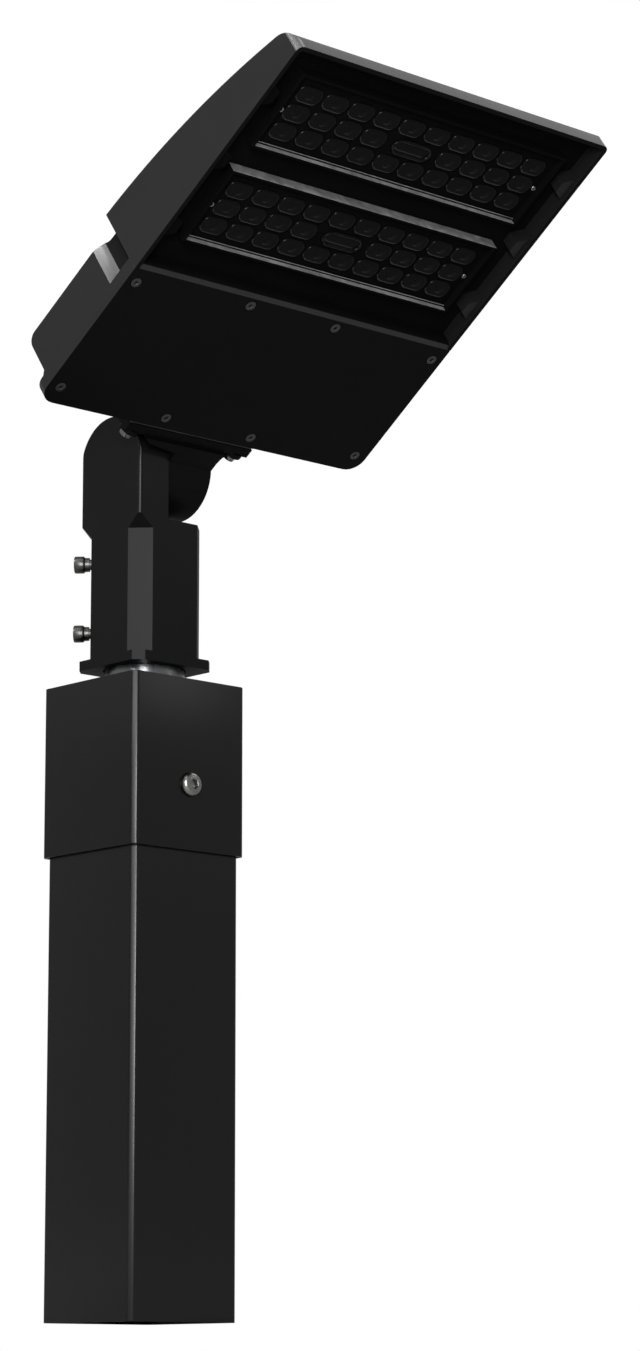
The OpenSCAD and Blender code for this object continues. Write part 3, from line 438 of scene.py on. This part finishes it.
def screws(name, profile, places, axes, material, body, nodes, seed):
    """Like screws, each turned by chance about its own length, at these places."""
    bm = bmesh.new()
    turned(bm, profile, 48)
    screw = meshed(bm, name + "_screw", 30)
    cloud = bpy.data.meshes.new(name)
    cloud.from_pydata(places, [], [])
    axis = cloud.attributes.new("axis", "FLOAT_VECTOR", "POINT")
    axis.data.foreach_set("vector", [c for a in axes for c in a])
    piece = grown(name, screw_tree, {"Screw": screw, "Seed": seed, "Finish": material}, cloud)
    bpy.data.objects.remove(screw)
    return dressed(piece, material, body, "stainless", *nodes)


screw_tree, given = node_tree("like_screws", Screw=("Object", None), Seed=("Int", 1),
                              Finish=("Material", None))
shape = given.add("GeometryNodeObjectInfo", (), {"Object": given.out("Screw")}, out="Geometry")
way = given.add("GeometryNodeInputNamedAttribute", {"data_type": "FLOAT_VECTOR"}, {"Name": "axis"})
spin = given.add("FunctionNodeRandomValue", {"data_type": "FLOAT"},
                 {2: 0.0, 3: 6.28, "Seed": given.out("Seed")}, out=1)
turn = given.add("FunctionNodeAlignRotationToVector", {"axis": "Z"}, {"Vector": way})
own = given.add("FunctionNodeAxisAngleToRotation", (), {"Axis": (0, 0, 1), "Angle": spin})
turn = given.add("FunctionNodeRotateRotation", {"rotation_space": "LOCAL"}, {0: turn, 1: own})
tree_end(given, given.add("GeometryNodeInstanceOnPoints", (),
                          {"Points": given.out("Geometry"), "Instance": shape, "Rotation": turn}))

button = [(0.0050, 0.0049), (0.0064, 0.0047), (0.0078, 0.0038), (0.0088, 0.0024), (0.00925, 0.0010),
          (0.0091, 0.0003), (0.0084, 0.0)]
screws("clamp_screw_heads", socketed(button, 0.0065, 0.0028, 0.0163, 0.005, 0.0007),
       [(0, -sleeve_face, clamp_height), (0, sleeve_face, clamp_height)], [(0, -1, 0), (0, 1, 0)],
       stainless, "pole", ["clamp_screws"], seed=4)


def bevelled(node, name, widths, segments=3, angle=28, shift=None):
    """A copy of a CAD node with joined faces and rounded edges: the first width is for every
    sharp edge, and each (lowest, highest, width, angle) after it for the edges in that box
    that turn by more than that angle."""
    bm = bmesh.new()
    bm.from_mesh(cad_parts[node].data)
    bmesh.ops.remove_doubles(bm, verts=bm.verts, dist=1e-6)
    bmesh.ops.dissolve_limit(bm, angle_limit=math.radians(0.6), verts=bm.verts, edges=bm.edges)
    if shift:
        bm.transform(shift)
    weight = bm.edges.layers.float.new("bevel_weight_edge")
    largest = max([widths[0]] + [w[2] for w in widths[1:]])
    for edge in bm.edges:
        if len(edge.link_faces) != 2:
            continue
        width, least = widths[0], angle
        for lowest, highest, special, low_angle in widths[1:]:
            if all(lo <= c <= hi for v in edge.verts for lo, c, hi in zip(lowest, v.co, highest)):
                width, least = special, low_angle
        if edge.calc_face_angle(0) > math.radians(least):
            edge[weight] = width / largest
    if shift:
        bm.transform(shift.inverted())
    mesh = bpy.data.meshes.new(name)
    bm.to_mesh(mesh)
    bm.free()
    piece = linked(name, mesh)
    mesh.shade_smooth()
    mesh.set_sharp_from_angle(angle=math.radians(angle))
    bevel = piece.modifiers.new("bevel", "BEVEL")
    bevel.limit_method = "WEIGHT"
    bevel.width = largest
    bevel.segments = segments
    bevel.miter_outer = "MITER_ARC"
    bevel.use_clamp_overlap = True
    piece.modifiers.new("normals", "WEIGHTED_NORMAL").keep_sharp = False
    piece.data = bpy.data.meshes.new_from_object(
        piece.evaluated_get(bpy.context.evaluated_depsgraph_get()))
    piece.modifiers.clear()
    return piece


nuts = bevelled("clamp_nuts", "clamp_nuts_welded", [0.0005], 2)
dressed(nuts, zinc_tube, "pole", "zinc_tube", "clamp_nuts")

# Slip fitter: a cast aluminium socket that slides over the tenon, square with cut corners, with
# a collar at its mouth and one ear of the hinge standing on its left. Powder coated.
cast_black = coated("cast_black", (0.0020, 0.0020, 0.0021), 0.40, 0.020, grit=0.006, specular=0.010,
                    shine=0.055, blur=0.26)
# A darker, duller copy of the fitter's coat: painted shade for faces that the light misses.
cast_painted_shade = coated("cast_painted_shade", (0.0013, 0.0013, 0.0014), 0.46, 0.020, grit=0.006, specular=0.006,
                   shine=0.03, blur=0.30)
shelf_edges = ((-0.0065, -0.036, 0.590), (0.036, 0.036, 0.593), 0.0028, 28)
ear_edges = ((-0.060, -0.060, 0.600), (0.0, 0.060, 0.700), 0.0026, 28)


def faced(piece, material, test):
    """Gives the faces whose middle and normal pass a test a second finish."""
    piece.data.materials.append(material)
    for face in piece.data.polygons:
        if test(face.center, face.normal):
            face.material_index = len(piece.data.materials) - 1


def in_painted_shade(place, normal):
    """The fitter's underside and its facet at the front right, which get a darker coat as painted shade."""
    return normal.z < -0.5 or (normal.x > 0.5 and normal.y < -0.5)


def on_painted_ear_highlight(place, normal):
    """The ear's rounded edge at the front left, given the pole's glossier coat as a painted highlight."""
    return place.z > 0.6 and place.x < 0 and -0.95 < normal.x < -0.3 and -0.95 < normal.y < -0.3


fitter = bevelled("slip_fitter", "fitter_casting", [0.0009, shelf_edges, ear_edges])
dressed(fitter, cast_black, "fitter", "cast_black", "slip_fitter")
# The underside and the front right facet get the darker coat as painted shade.
faced(fitter, cast_painted_shade, in_painted_shade)
# The ear's front left edge gets the pole's glossier coat as a painted highlight.
faced(fitter, pole_paint, on_painted_ear_highlight)

# Set bolts: two steel socket cap screws with knurled heads through the back left corner of the
# fitter, with a collar under the head, which clamp it on the tenon.
cap_radius = 0.0065
knurl_depth = 0.0003
knurl_ridges = 24
seat_reach = 0.04602 / math.sqrt(2)
bolt_steel = metal("bolt_steel", (0.034, 0.034, 0.033), 0.36, 0.10)


def knurled(a):
    return cap_radius - knurl_depth * (round(a * knurl_ridges / math.pi) % 2)


cap = [(0.0056, 0.0076), (0.0061, 0.0073), (knurled, 0.0067), (knurled, 0.0006), (0.0061, 0.0),
       (0.0056, -0.0004), (0.0054, -0.0010), (0.0053, -0.004)]
screws("set_bolt_screws", socketed(cap, 0.0061, 0.0046, 0.0156, 0.004, 0.0006),
       [(-seat_reach, seat_reach, z) for z in (0.5105, 0.5637)], [(-0.7071, 0.7071, 0)] * 2,
       bolt_steel, "fitter", ["set_bolts"], seed=7)

# Hinge bolt: a stainless hexagon bolt through both ears of the hinge with its washers, sunk
# in the arm's right side. The head locks by it.
hinge_height = 0.6371
hinge_seat = 0.0264
hinge_flats = 0.0186


def domed(flats, drop):
    """A hexagon whose corners are turned off this far outside its flats."""
    return lambda a: min(hexagon(flats)(a), flats / 2 + drop)


bm = bmesh.new()
turned(bm, [(0, 0.0075), (0.0081, 0.0075), (0.0089, 0.0071), (domed(hinge_flats, 0.0006), 0.0064),
            (domed(hinge_flats, 0.0016), 0.0056), (domed(hinge_flats, 0.0016), 0.0006),
            (0.0088, 0.0001), (0.0085, 0.0), (0.006, 0.0), (0.006, -0.0530), (0.0054, -0.0538),
            (0, -0.0538)], 48,
       Matrix.Translation((hinge_seat, 0, hinge_height)) @ Matrix.Rotation(math.pi / 2, 4, "Y"))
dressed(meshed(bm, "hinge_bolt", 26), stainless, "fitter", "stainless", "pivot_bolt")
washer = bevelled("pivot_washer", "hinge_washer", [0.0003], 2)
dressed(washer, stainless, "fitter", "stainless", "pivot_washer")
spring = bevelled("pivot_spring_washer", "hinge_spring_washer", [0.0003], 2)
dressed(spring, stainless, "fitter", "stainless", "pivot_spring_washer")

# The flat washer's face stands a hair off the arm, so that the head can tilt past it.
low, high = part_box("pivot_washer")
for v in washer.data.vertices:
    if v.co.x < low.x + hair:
        v.co.x += 0.00006

# Knuckle arm: the hinge's second half, a cast aluminium disc with a neck that ends in a plate
# bolted to the head. It gets the fitter underside's darker, duller coat, as painted shade.
arm = bevelled("knuckle_arm", "arm_casting", [0.0008])
dressed(arm, cast_painted_shade, "head", "cast_black", "knuckle_arm")

# Arm gasket, bolts and washers: a thin rubber sheet and four stainless hexagon bolts hold the
# arm's plate on the head's pad. Their places are given in the head's own space, in millimetres:
# x across, u from the door's hinge edge to the nose, w towards the back.
rest_tilt = 34.5
head_space = (Matrix.Translation((0, 0, hinge_height))
              @ Matrix.Rotation(math.radians(-rest_tilt), 4, "X")
              @ Matrix.Translation((0, -0.061, -0.0264)))
backwards = head_space.to_3x3() @ Vector((0, 1, 0))
arm_flats = 0.0099


def in_head(x, u, w):
    """A point of the head's own space, given in millimetres."""
    return head_space @ Vector((x / 1000, -u / 1000, w / 1000))


def rubber(name, colour, roughness):
    """Rubber or a plain moulding: a faint bloom over fine pores."""
    material, skin, where = blank(name)
    bloom = skin.noise(where, 60.0, 5.0)
    pores = skin.noise(where, 2400.0, 2.0)
    tone = skin.between(bloom, [c * 0.75 for c in colour], [c * 1.35 for c in colour])
    bump = skin.add("ShaderNodeBump", (),
                    {"Strength": 0.5, "Distance": 0.0003, "Height": pores * 0.2 + bloom * 0.1},
                    out="Normal")
    shader = skin.add("ShaderNodeBsdfPrincipled", (),
                      {"Base Color": tone, "Normal": bump, "Roughness": roughness + (bloom - 0.5) * 0.1,
                       "Specular IOR Level": 0.3})
    skin.add("ShaderNodeOutputMaterial", (), {"Surface": shader})
    return material


gasket = rubber("gasket", (0.016, 0.016, 0.017), 0.72)
dressed(bevelled("arm_gasket", "arm_gasket_sheet", [0.0004], 2), gasket, "head", "gasket", "arm_gasket")
arm_bolt = [(0, 0.0042), (0.0043, 0.0042), (0.0047, 0.0040), (domed(arm_flats, 0.0003), 0.0036),
            (domed(arm_flats, 0.0009), 0.0031), (domed(arm_flats, 0.0009), 0.0003), (0.0047, 0.0),
            (0.003, 0.0), (0.003, -0.0255), (0.0026, -0.026), (0, -0.026)]
screws("arm_bolts_hex", arm_bolt, [in_head(x, -20.5, 27 + w) for x in (-50.5, 50.5) for w in (-11.5, 11.5)],
       [backwards] * 4, stainless, "head", ["arm_bolts"], seed=11)
dressed(bevelled("arm_washers", "arm_washers_flat", [0.0002], 2), zinc_tube, "head", "stainless",
        "arm_washers")

# Housing: a die-cast aluminium shell with a deep recess for the LEDs, a row of cooling fins
# behind it and the driver's compartment, all under a satin black powder coat. The recess's deck
# gets a matt black. Darker, duller coats paint shade on the step left of the deck, the rim's
# narrow face, the end above the arm and the scoops' floors, and a glossier, lighter coat paints
# highlights on the scoops' ramps and the nose's corners.
head_coat = coated("head_coat", (0.0036, 0.0036, 0.0038), 0.38, 0.018, grit=0.004, specular=0.03,
                   shine=0.085)
# A matt copy of the housing's coat: painted shade on the scoops' floors.
scoop_painted_shade = coated("scoop_painted_shade", (0.0036, 0.0036, 0.0038), 0.60, 0.018, grit=0.004, specular=0.0,
                    shine=0.0)
# A glossier, lighter copy of the housing's coat: painted highlights on the ramps and the nose's corners.
turn_painted_highlight = coated("turn_painted_highlight", (0.0044, 0.0044, 0.0046), 0.42, 0.018, grit=0.004, specular=0.03,
                   shine=0.9, blur=0.46)
# The door's coat is darker than the housing's: painted shade on faces that look down.
door_painted_shade = coated("door_painted_shade", (0.0011, 0.0011, 0.0012), 0.42, 0.014, specular=0.008, shine=0.025)
# Matt black for the recess's deck, and painted shade on the step, the rails, the door's ends and the plate
# between the pads.
matt_black_and_painted_shade = coated("matt_black_and_painted_shade", (0.0014, 0.0014, 0.0015), 0.75, 0.02, grit=0.01, specular=0.0,
                      shine=0.0)
into_head = head_space.inverted()


def half_width(u):
    """Half the head's width, which narrows a little towards the nose."""
    return 155.8 - 0.0107 * u


def head_place(point, normal):
    """A face's middle in the head's space in millimetres, and its normal there."""
    x, y, w = 1000 * (into_head @ point)
    nx, ny, nw = into_head.to_3x3() @ normal
    return (x, -y, w), (nx, -ny, nw)


def in_recess(point, normal):
    """The recess's deck, which gets a darker matt black, and the narrow step on its left, where that black
    is painted shade.
    """
    (x, u, w), (nx, nu, nw) = head_place(point, normal)
    wall = half_width(u) - 3.2
    deck = abs(x) < wall and 126 < u < 332.8 and 13 < w < 15
    return abs(nw) > 0.5 and (deck or (-wall < x < -120 and 2 < w < 3))


def on_underside(point, normal):
    """The rim's narrow face and the end above the arm, given the door's darker coat as painted shade."""
    (x, u, w), (nx, nu, nw) = head_place(point, normal)
    return (nw < -0.7 and -0.1 < w < 0.3) or (nu < -0.5 and u < 6)


def in_scoop(point, normal):
    """The scoops' floors, given a darker matt coat as painted shade."""
    (x, u, w), (nx, nu, nw) = head_place(point, normal)
    return 114.1 < u < 129.9 and w > 10.8 and abs(nw) < 0.5 and -0.2 < half_width(u) - abs(x) < 8


def on_turn(point, normal):
    """The scoops' ramps and the nose's two corners, given a glossier, lighter coat as a painted highlight.
    """
    (x, u, w), (nx, nu, nw) = head_place(point, normal)
    ramp = 104.4 < u < 114.4 and w > 10.8 and nu > 0.1 and abs(nw) < 0.3 and x * nx > 0
    return ramp or (abs(x) > 140 and u > 329.5 and x * nx > 22 and nu > 0.1 and abs(nw) < 0.4)


def begin_scoops(mesh):
    """Lets the scoops begin with a crease: their first 11 mm lie up to 1.1 mm deeper. Each step
    is a place along the head, the scoop's depth there, and how much deeper it is made."""
    steps = [(104.5, 0, 0), (107.5, 0.42, 0.70), (110.5, 1.40, 1.12), (112.5, 2.80, 0.84),
             (114.0, 4.48, 0.14), (115.5, 6.02, 0)]
    for v in mesh.vertices:
        x, y, w = 1000 * (into_head @ v.co)
        inward = half_width(-y) - abs(x)
        for (u_1, depth_1, more_1), (u_2, depth_2, more_2) in zip(steps, steps[1:]):
            t = (-y - u_1) / (u_2 - u_1)
            if 0 <= t < 1 and -0.2 < inward < depth_1 + (depth_2 - depth_1) * t + 1.6:
                rise = min(1, max(0, w - 10.9))
                v.co.x -= math.copysign((more_1 + (more_2 - more_1) * t) * rise / 1000, x)


nose_ends = [((side * 0.150 - 0.006, -0.3375, -0.001), (side * 0.150 + 0.006, -0.3285, 0.024), 0.0008, 15)
             for side in (-1, 1)]
housing = bevelled("housing", "housing_casting", [0.0008, *nose_ends], shift=into_head)
begin_scoops(housing.data)
dressed(housing, head_coat, "head", "cast_black", "housing")
# Painted shade on the step, the rim's face and end and the scoops' floors; painted highlights on the ramps
# and nose corners.
faced(housing, matt_black_and_painted_shade, in_recess)
faced(housing, door_painted_shade, on_underside)
faced(housing, scoop_painted_shade, in_scoop)
faced(housing, turn_painted_highlight, on_turn)

# Door: a pressed aluminium sheet that closes the compartment, folded up into the recess, with
# a foam gasket behind it and eight dark stainless countersunk screws. Its downward face gets a
# darker coat than the housing as painted shade, its sides the housing's coat, its fold a glossier,
# lighter coat as a painted highlight and its ends the matt black as painted shade.
fold_painted_highlight = coated("fold_painted_highlight", (0.0040, 0.0040, 0.0042), 0.40, 0.014, specular=0.03, shine=0.26,
                    blur=0.34)
dark_steel = metal("dark_steel", (0.032, 0.032, 0.031), 0.42, 0.05)
downwards = head_space.to_3x3() @ Vector((0, 0, -1))


def on_side(point, normal):
    (x, u, w), (nx, nu, nw) = head_place(point, normal)
    return abs(nx) > 0.5 and abs(x) > 150


def on_fold(point, normal):
    (x, u, w), (nx, nu, nw) = head_place(point, normal)
    return u > 129.5 and nu > 0.03 and nw < -0.35


def on_end(point, normal):
    (x, u, w), (nx, nu, nw) = head_place(point, normal)
    return u > 134.2 or (u < 1.2 and nu < -0.2)


door = bevelled("door", "door_panel", [0.0006], shift=into_head)
dressed(door, door_painted_shade, "head", "cast_black", "door")
# Lit and shaded copies of the coat: the housing's on the sides, a glossier one on the fold as painted
# highlight, matt black on the ends as painted shade.
faced(door, head_coat, on_side)
faced(door, fold_painted_highlight, on_fold)
faced(door, matt_black_and_painted_shade, on_end)
dressed(bevelled("door_gasket", "door_gasket_ring", [0.0003], 2), gasket, "head", "gasket", "door_gasket")
sunk = [(0.0034, -0.0002), (0.0040, -0.0003), (0.0041, -0.0006), (0.0041, -0.0008), (0.0024, -0.0024)]
places = [in_head(x * side, u, 0) for side in (-1, 1)
          for x, u in ((144.3, 15), (41.6, 9.2), (144.9, 118), (41.6, 123.5))]
screws("door_screws_sunk", socketed(sunk, 0.0027, 0.0014, 0.0109, 0.0024, 0.0004), places,
       [downwards] * 8, dark_steel, "head", ["door_screws"], seed=5)

# LED modules: two black optic plates, each with three rows of moulded pads over the LEDs and an
# oblong boss in the middle, clamped by an aluminium frame. The frame is matt black but for bright
# bare metal on the long sides where the light falls, which is painted light and shade; the pads'
# upper edges get a glossier coat as a painted highlight.
plate_top = 9.3
plate_size = (0.2528, 0.061, 0.002)
lens = coated("lens", (0.0009, 0.0009, 0.0010), 0.25, 0.010, specular=0.012, shine=0.04, blur=0.22)
# A glossier copy of the lens coat: painted highlight on the pads' upper edges.
pad_rim_painted_highlight = coated("pad_rim_painted_highlight", (0.0014, 0.0014, 0.0015), 0.30, 0.010, specular=0.02, shine=0.42, blur=0.22)
rail_painted_light = metal("rail_painted_light", (0.47, 0.47, 0.47), 0.52, 0.06, spangle=0.25, darkest=0.4)
board = rubber("board", (0.55, 0.55, 0.52), 0.45)
phosphor = rubber("phosphor", (0.62, 0.42, 0.05), 0.55)
pad_tree, given = node_tree("optic_pads", Pad=("Object", None), Columns=("Int", 10), Rows=("Int", 3),
                            Across=("Float", 0.02), Along=("Float", 0.016), Finish=("Material", None))
wide = given.out("Across") * (given.out("Columns") - 1)
deep = given.out("Along") * (given.out("Rows") - 1)
grid = given.add("GeometryNodeMeshGrid", (),
                 {"Size X": wide, "Size Y": deep, "Vertices X": given.out("Columns"),
                  "Vertices Y": given.out("Rows")})
spot = given.add("ShaderNodeSeparateXYZ", (), {0: given.add("GeometryNodeInputPosition")})
beside = given.maths("ABSOLUTE", spot.out("X")) > given.out("Across")
above = given.maths("ABSOLUTE", spot.out("Y")) > 0.5 * given.out("Along")
under_boss = (1 - beside) * (1 - above)
grid = given.add("GeometryNodeDeleteGeometry", {"domain": "POINT"},
                 {"Geometry": grid, "Selection": under_boss})
shape = given.add("GeometryNodeObjectInfo", (), {"Object": given.out("Pad")}, out="Geometry")
tree_end(given, given.add("GeometryNodeInstanceOnPoints", (), {"Points": grid, "Instance": shape}))


def rounded(half_x, half_y, cut, power=20):
    """Radius by angle of a rectangle with cut, softened corners."""
    flats = [(0, half_x), (90, half_y), (180, half_x), (270, half_y)]
    flats += [(a, (half_x + half_y - cut) / math.sqrt(2)) for a in (45, 135, 225, 315)]

    def radius(a):
        total = sum(max(0.0, math.cos(a - math.radians(turn)) / reach) ** power for turn, reach in flats)
        return total ** (-1 / power) / 1000

    return radius


def pad_ring(inset):
    return rounded(11.25 - inset, 7.35 - inset, 3.9 - 0.6 * inset)


def boss_ring(inset):
    return rounded(20.0 - inset, 6.9 - inset, 6.4 - inset, 14)


def in_light(point, normal):
    """The rails' long sides where the light falls, given bright bare metal as painted light; the rail under
    the nose lies in the nose's shadow and is left black.
    """
    place, turn = head_place(point, normal)
    return abs(turn[1]) > 0.7 and place[1] < 300


def on_rim(point, normal):
    """The upper edge of each pad, which gets a glossier coat as a painted highlight."""
    place, turn = head_place(point, normal)
    return 6 < place[2] < 9.15 and turn[1] > 0.25


def on_sheet(point, normal):
    """The plate between the pads."""
    return 9.2 < head_place(point, normal)[0][2] < 9.4


pad_profile = [(0, -0.0003), (0, 0.0004), (0.15, 0.0009), (0.45, 0.00135), (0.9, 0.0017), (1.5, 0.00192),
               (2.4, 0.0020), (3.4, 0.00198)]
pad_profile = [(pad_ring(inset), height) for inset, height in pad_profile]
pad_profile += [(0.0030, 0.00196), (0.0026, 0.0021), (0.0016, 0.0023), (0, 0.0024)]
boss_profile = [(0, -0.0003), (0, 0.0018), (0.2, 0.0023), (0.7, 0.0026), (1.7, 0.0026), (2.2, 0.0023),
                (2.5, 0.0013), (3.4, 0.0011), (4.2, 0.0014), (4.9, 0.0014)]
boss_profile = [(boss_ring(inset), height) for inset, height in boss_profile] + [(0, 0.0014)]
small = [(0.0014, 0.0018), (0.0019, 0.0016), (0.0023, 0.0009), (0.0024, 0.0003), (0.0023, 0.0)]
hidden_layers = (("led_board_", "led_board_sheet_", 0.0002, board, "board"),
                 ("led_chips_", "led_chips_set_", 0.0003, phosphor, "phosphor"),
                 ("lens_gasket_", "optic_seal_", 0.0003, gasket, "gasket"))

for which, u in (("lower", 192.0), ("upper", 280.4)):
    bm = bmesh.new()
    turned(bm, pad_profile, 36)
    pad = meshed(bm, "pad", 50)
    plate = grown("optic_plate_" + which, pad_tree,
                  {"Pad": pad, "Columns": 10, "Rows": 3, "Across": 0.02448, "Along": 0.01667,
                   "Finish": lens})
    bpy.data.objects.remove(pad)
    bm = bmesh.new()
    bm.from_mesh(plate.data)
    turned(bm, boss_profile, 64)
    sheet = bmesh.ops.create_cube(bm, size=1, matrix=Matrix.Translation((0, 0, -plate_size[2] / 2))
                                  @ Matrix.Diagonal((*plate_size, 1)))["verts"]
    edges = list(dict.fromkeys(e for v in sheet for e in v.link_edges))
    bmesh.ops.bevel(bm, geom=edges, offset=0.0004, segments=2, affect="EDGES", profile=0.6)
    bm.transform(head_space @ Matrix.Translation((0, -u / 1000, plate_top / 1000))
                 @ Matrix.Rotation(math.pi, 4, "X"))
    bmesh.ops.recalc_face_normals(bm, faces=bm.faces)
    bm.to_mesh(plate.data)
    bm.free()
    plate.data.shade_smooth()
    plate.data.set_sharp_from_angle(angle=math.radians(50))
    dressed(plate, lens, "head", "lens", "lens_plate_" + which)
    faced(plate, matt_black_and_painted_shade, on_sheet)
    faced(plate, pad_rim_painted_highlight, on_rim)
    rails = bevelled("module_frame_" + which, "module_rails_" + which, [0.0004], 2)
    dressed(rails, matt_black_and_painted_shade, "head", "cast_black", "module_frame_" + which)
    # Bright metal only on the lit long sides as painted light; the rest stays black as painted shade.
    faced(rails, rail_painted_light, in_light)
    for node, name, width, material, slot in hidden_layers:
        dressed(bevelled(node + which, name + which, [width], 1), material, "head", slot, node + which)
    low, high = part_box("module_screws_" + which)
    x = (high.x - low.x) / 2 * 1000 - 2.4
    screws("module_screws_dome_" + which, socketed(small, 0.0016, 0.001, 0.0065, 0.0015, 0.0003),
           [in_head(-x, u, plate_top), in_head(x, u, plate_top)], [downwards] * 2, stainless, "head",
           ["module_screws_" + which], seed=9)

# Driver compartment: the LED driver in its painted case, a surge protector, the terminals for
# the supply and a rubber grommet where the wires pass to the LEDs.
driver_case = coated("driver_case", (0.50, 0.50, 0.48), 0.45, 0.02, specular=0.4, shine=0.0)
surge_case = coated("surge_case", (0.02, 0.02, 0.022), 0.42, 0.01, specular=0.4, shine=0.0)
terminal = rubber("terminal", (0.72, 0.72, 0.68), 0.5)
dressed(bevelled("driver", "driver_box", [0.0012]), driver_case, "head", "driver_case", "driver")
dressed(bevelled("surge_protector", "surge_box", [0.0015]), surge_case, "head", "surge_case",
        "surge_protector")
dressed(bevelled("terminal_block", "terminal_strip", [0.0006], 2), terminal, "head", "terminal",
        "terminal_block")
dressed(bevelled("wire_grommet", "wire_grommet_ring", [0.0003], 2), gasket, "head", "gasket",
        "wire_grommet")
dressed(bevelled("driver_screws", "driver_screws_dome", [0.0002], 2), stainless, "head", "stainless",
        "driver_screws")
